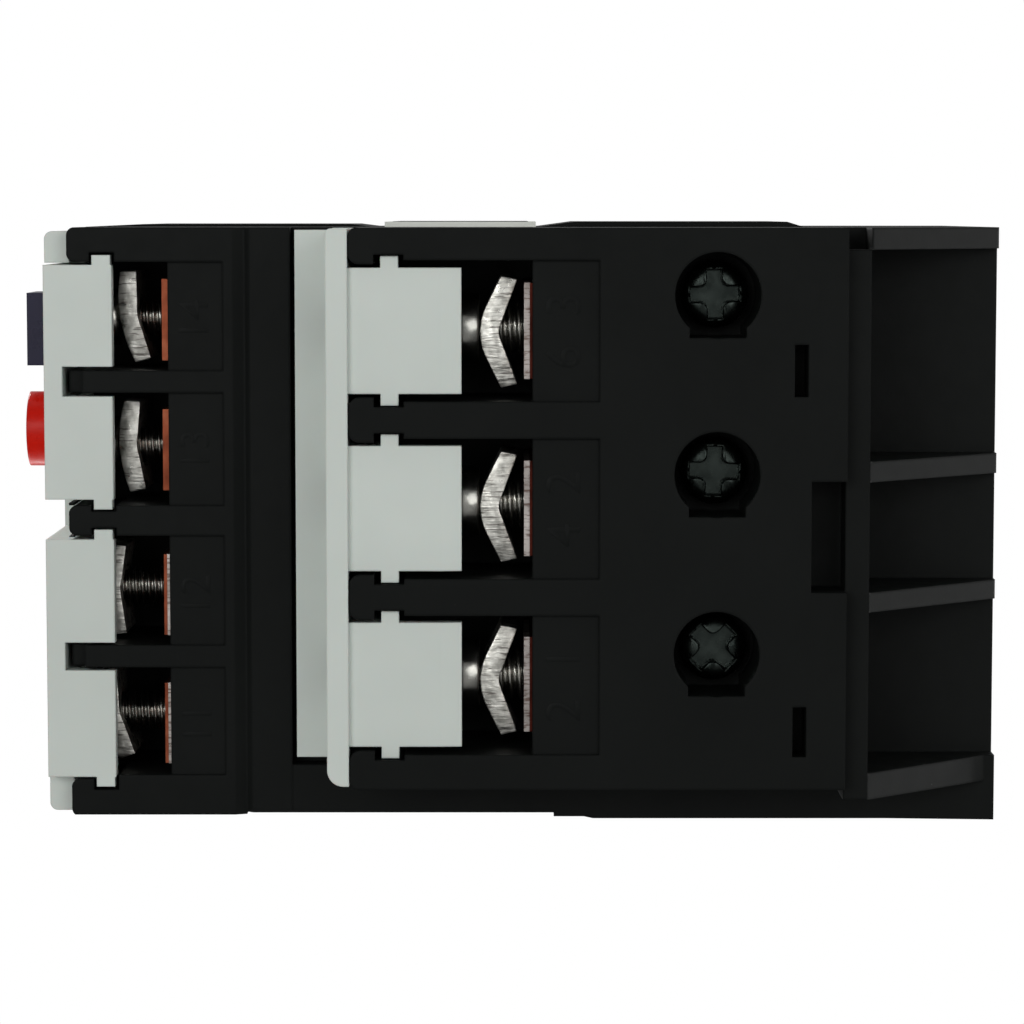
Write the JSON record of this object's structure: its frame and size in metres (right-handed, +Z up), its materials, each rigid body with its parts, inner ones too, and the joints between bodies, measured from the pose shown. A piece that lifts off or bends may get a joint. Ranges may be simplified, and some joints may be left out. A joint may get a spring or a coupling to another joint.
{
  "type": "thermal overload relay",
  "caption": "Plug-in thermal overload relay for a motor contactor, with clamp terminals, reset and stop buttons and a setting dial.",
  "frame": {"origin": "centre of the bounding box at the load-terminal face, which is the underside", "axes": "+X to the right seen from the front, +Y from the front panel to the rear, +Z up along the plug-in pins"},
  "size_m": [0.0458, 0.0764, 0.066],
  "materials": {
    "black_plastic": "fine moulded texture, satin",
    "grey_plastic": "smooth moulded, satin",
    "pale_plastic": "smooth moulded",
    "clear_plastic": "clear",
    "zinc_steel": "zinc plated",
    "black_steel": "black oxide with oil sheen",
    "copper": "bare copper, tinned on the front",
    "tinned_copper": "tin plated",
    "bimetal": "rolled strip, dull",
    "heater_wire": "dull resistance wire",
    "blue_button": "dark blue moulded",
    "red_button": "red moulded",
    "flag_orange": "orange moulded",
    "dial_plastic": "off-white moulded",
    "label": "printed foil",
    "brass_bar": "stamped"
  },
  "bodies": {
    "housing": {"base_housing": "black_plastic", "rear_cover": "black_plastic", "mechanism_housing": "black_plastic", "front_cover": "grey_plastic", "power_terminal_cover": "grey_plastic", "aux_shroud_right": "grey_plastic", "aux_shroud_left": "grey_plastic", "window_hinge_pin": "zinc_steel", "rating_label_right": "label", "rating_label_left": "label", "contactor_hook": "black_plastic", "load_terminal_1": "tinned_copper", "load_terminal_2": "tinned_copper", "load_terminal_3": "tinned_copper", "power_nut_plates": "zinc_steel", "aux_terminal_1": "copper", "aux_terminal_2": "copper", "aux_terminal_3": "copper", "aux_terminal_4": "copper", "aux_nut_plates": "zinc_steel", "input_pin_1": "tinned_copper", "input_pin_2": "tinned_copper", "input_pin_3": "tinned_copper", "heater_fixing_screws": "black_steel", "trip_lever_pin": "zinc_steel", "reset_spring": "zinc_steel", "stop_spring": "zinc_steel"},
    "window": {"window_cover": "clear_plastic"},
    "dial": {"setting_dial": "dial_plastic"},
    "reset": {"reset_button": "blue_button"},
    "stop": {"stop_button": "red_button"},
    "test": {"test_button": "red_button"},
    "drive_bar": {"drive_bar": "pale_plastic"},
    "differential_bar": {"differential_bar": "brass_bar"},
    "bimetal_1": {"bimetal_1": "bimetal", "heater_winding_1": "heater_wire"},
    "bimetal_2": {"bimetal_2": "bimetal", "heater_winding_2": "heater_wire"},
    "bimetal_3": {"bimetal_3": "bimetal", "heater_winding_3": "heater_wire"},
    "trip_lever": {"trip_lever": "pale_plastic", "compensation_strip": "bimetal"},
    "contact_carrier": {"contact_carrier": "pale_plastic", "nc_bridge": "copper", "no_bridge": "copper", "trip_flag": "flag_orange"},
    "power_clamp_1": {"power_clamp_1": "zinc_steel"},
    "power_screw_1": {"power_screw_1": "zinc_steel"},
    "power_clamp_2": {"power_clamp_2": "zinc_steel"},
    "power_screw_2": {"power_screw_2": "zinc_steel"},
    "power_clamp_3": {"power_clamp_3": "zinc_steel"},
    "power_screw_3": {"power_screw_3": "zinc_steel"},
    "aux_clamp_1": {"aux_clamp_1": "zinc_steel"},
    "aux_screw_1": {"aux_screw_1": "zinc_steel"},
    "aux_clamp_2": {"aux_clamp_2": "zinc_steel"},
    "aux_screw_2": {"aux_screw_2": "zinc_steel"},
    "aux_clamp_3": {"aux_clamp_3": "zinc_steel"},
    "aux_screw_3": {"aux_screw_3": "zinc_steel"},
    "aux_clamp_4": {"aux_clamp_4": "zinc_steel"},
    "aux_screw_4": {"aux_screw_4": "zinc_steel"}
  },
  "joints": [
    {"name": "window_hinge", "type": "hinge", "parent": "housing", "child": "window", "pos_m": [-0.0117, -0.0333, 0.0439], "axis": [-1, 0, 0], "range_deg": [0, 95]},
    {"name": "dial_turn", "type": "hinge", "parent": "housing", "child": "dial", "pos_m": [-0.009, -0.031, 0.031], "axis": [0, 1, 0], "range_deg": [-110, 110]},
    {"name": "reset_press", "type": "slide", "parent": "housing", "child": "reset", "axis": [0, 1, 0], "range_m": [0, 0.0025], "stiffness_N_per_m": 600, "springref_m": -0.001, "deforming": ["reset_spring"]},
    {"name": "stop_press", "type": "slide", "parent": "housing", "child": "stop", "axis": [0, 1, 0], "range_m": [0, 0.002], "stiffness_N_per_m": 600, "springref_m": -0.001, "deforming": ["stop_spring"]},
    {"name": "test_press", "type": "slide", "parent": "housing", "child": "test", "axis": [0, 1, 0], "range_m": [0, 0.0012], "stiffness_N_per_m": 400, "springref_m": -0.001},
    {"name": "trip_travel", "type": "slide", "parent": "housing", "child": "drive_bar", "axis": [-1, 0, 0], "range_m": [0, 0.002], "stiffness_N_per_m": 200, "springref_m": -0.0005},
    {"name": "differential_travel", "type": "slide", "parent": "housing", "child": "differential_bar", "axis": [-1, 0, 0], "range_m": [0, 0.002]},
    {"name": "bimetal_bend_1", "type": "hinge", "parent": "housing", "child": "bimetal_1", "pos_m": [0.015, 0.01, 0.0152], "axis": [0, -1, 0], "range_deg": [0, 5.05]},
    {"name": "bimetal_bend_2", "type": "hinge", "parent": "housing", "child": "bimetal_2", "pos_m": [0.002, 0.01, 0.0152], "axis": [0, -1, 0], "range_deg": [0, 5.05]},
    {"name": "bimetal_bend_3", "type": "hinge", "parent": "housing", "child": "bimetal_3", "pos_m": [-0.011, 0.01, 0.0152], "axis": [0, -1, 0], "range_deg": [0, 5.05]},
    {"name": "lever_turn", "type": "hinge", "parent": "housing", "child": "trip_lever", "pos_m": [-0.0174, -0.008, 0.04], "axis": [0, 0, 1], "range_deg": [0, 6.89]},
    {"name": "contact_travel", "type": "slide", "parent": "housing", "child": "contact_carrier", "axis": [0, 0, -1], "range_m": [0, 0.0015]},
    {"name": "power_clamp_travel_1", "type": "slide", "parent": "housing", "child": "power_clamp_1", "axis": [0, 1, 0], "range_m": [-0.0045, 0.0002]},
    {"name": "power_screw_turn_1", "type": "hinge", "parent": "power_clamp_1", "child": "power_screw_1", "pos_m": [0.015, -0.00107, 0.0072], "axis": [0, 1, 0], "range_deg": [-2315, 104]},
    {"name": "power_clamp_travel_2", "type": "slide", "parent": "housing", "child": "power_clamp_2", "axis": [0, 1, 0], "range_m": [-0.0045, 0.0002]},
    {"name": "power_screw_turn_2", "type": "hinge", "parent": "power_clamp_2", "child": "power_screw_2", "pos_m": [0.002, -0.00107, 0.0072], "axis": [0, 1, 0], "range_deg": [-2315, 104]},
    {"name": "power_clamp_travel_3", "type": "slide", "parent": "housing", "child": "power_clamp_3", "axis": [0, 1, 0], "range_m": [-0.0045, 0.0002]},
    {"name": "power_screw_turn_3", "type": "hinge", "parent": "power_clamp_3", "child": "power_screw_3", "pos_m": [-0.011, -0.00107, 0.0072], "axis": [0, 1, 0], "range_deg": [-2315, 104]},
    {"name": "aux_clamp_travel_1", "type": "slide", "parent": "housing", "child": "aux_clamp_1", "axis": [0, 1, 0], "range_m": [-0.001, 0.0024]},
    {"name": "aux_screw_turn_1", "type": "hinge", "parent": "aux_clamp_1", "child": "aux_screw_1", "pos_m": [-0.0154, -0.0305, 0.018], "axis": [0, 1, 0], "range_deg": [-721, 1729]},
    {"name": "aux_clamp_travel_2", "type": "slide", "parent": "housing", "child": "aux_clamp_2", "axis": [0, 1, 0], "range_m": [-0.0013, 0.0028]},
    {"name": "aux_screw_turn_2", "type": "hinge", "parent": "aux_clamp_2", "child": "aux_screw_2", "pos_m": [-0.0055, -0.0304, 0.018], "axis": [0, 1, 0], "range_deg": [-937, 2017]},
    {"name": "aux_clamp_travel_3", "type": "slide", "parent": "housing", "child": "aux_clamp_3", "axis": [0, 1, 0], "range_m": [-0.0026, 0.0013]},
    {"name": "aux_screw_turn_3", "type": "hinge", "parent": "aux_clamp_3", "child": "aux_screw_3", "pos_m": [0.0056, -0.029, 0.018], "axis": [0, 1, 0], "range_deg": [-1873, 937]},
    {"name": "aux_clamp_travel_4", "type": "slide", "parent": "housing", "child": "aux_clamp_4", "axis": [0, 1, 0], "range_m": [-0.0027, 0.0009]},
    {"name": "aux_screw_turn_4", "type": "hinge", "parent": "aux_clamp_4", "child": "aux_screw_4", "pos_m": [0.0155, -0.02885, 0.018], "axis": [0, 1, 0], "range_deg": [-1945, 649]}
  ],
  "couplings": [
    {"joint": "differential_travel", "follows": "trip_travel", "ratio": 1},
    {"joint": "bimetal_bend_1", "follows": "trip_travel", "rad_per_m": 43.86},
    {"joint": "bimetal_bend_2", "follows": "trip_travel", "rad_per_m": 43.86},
    {"joint": "bimetal_bend_3", "follows": "trip_travel", "rad_per_m": 43.86},
    {"joint": "lever_turn", "follows": "trip_travel", "rad_per_m": 60},
    {"joint": "contact_travel", "follows": "trip_travel", "ratio": 0.75},
    {"joint": "power_screw_turn_1", "follows": "power_clamp_travel_1", "rad_per_m": 8976},
    {"joint": "power_screw_turn_2", "follows": "power_clamp_travel_2", "rad_per_m": 8976},
    {"joint": "power_screw_turn_3", "follows": "power_clamp_travel_3", "rad_per_m": 8976},
    {"joint": "aux_screw_turn_1", "follows": "aux_clamp_travel_1", "rad_per_m": 12566},
    {"joint": "aux_screw_turn_2", "follows": "aux_clamp_travel_2", "rad_per_m": 12566},
    {"joint": "aux_screw_turn_3", "follows": "aux_clamp_travel_3", "rad_per_m": 12566},
    {"joint": "aux_screw_turn_4", "follows": "aux_clamp_travel_4", "rad_per_m": 12566}
  ]
}
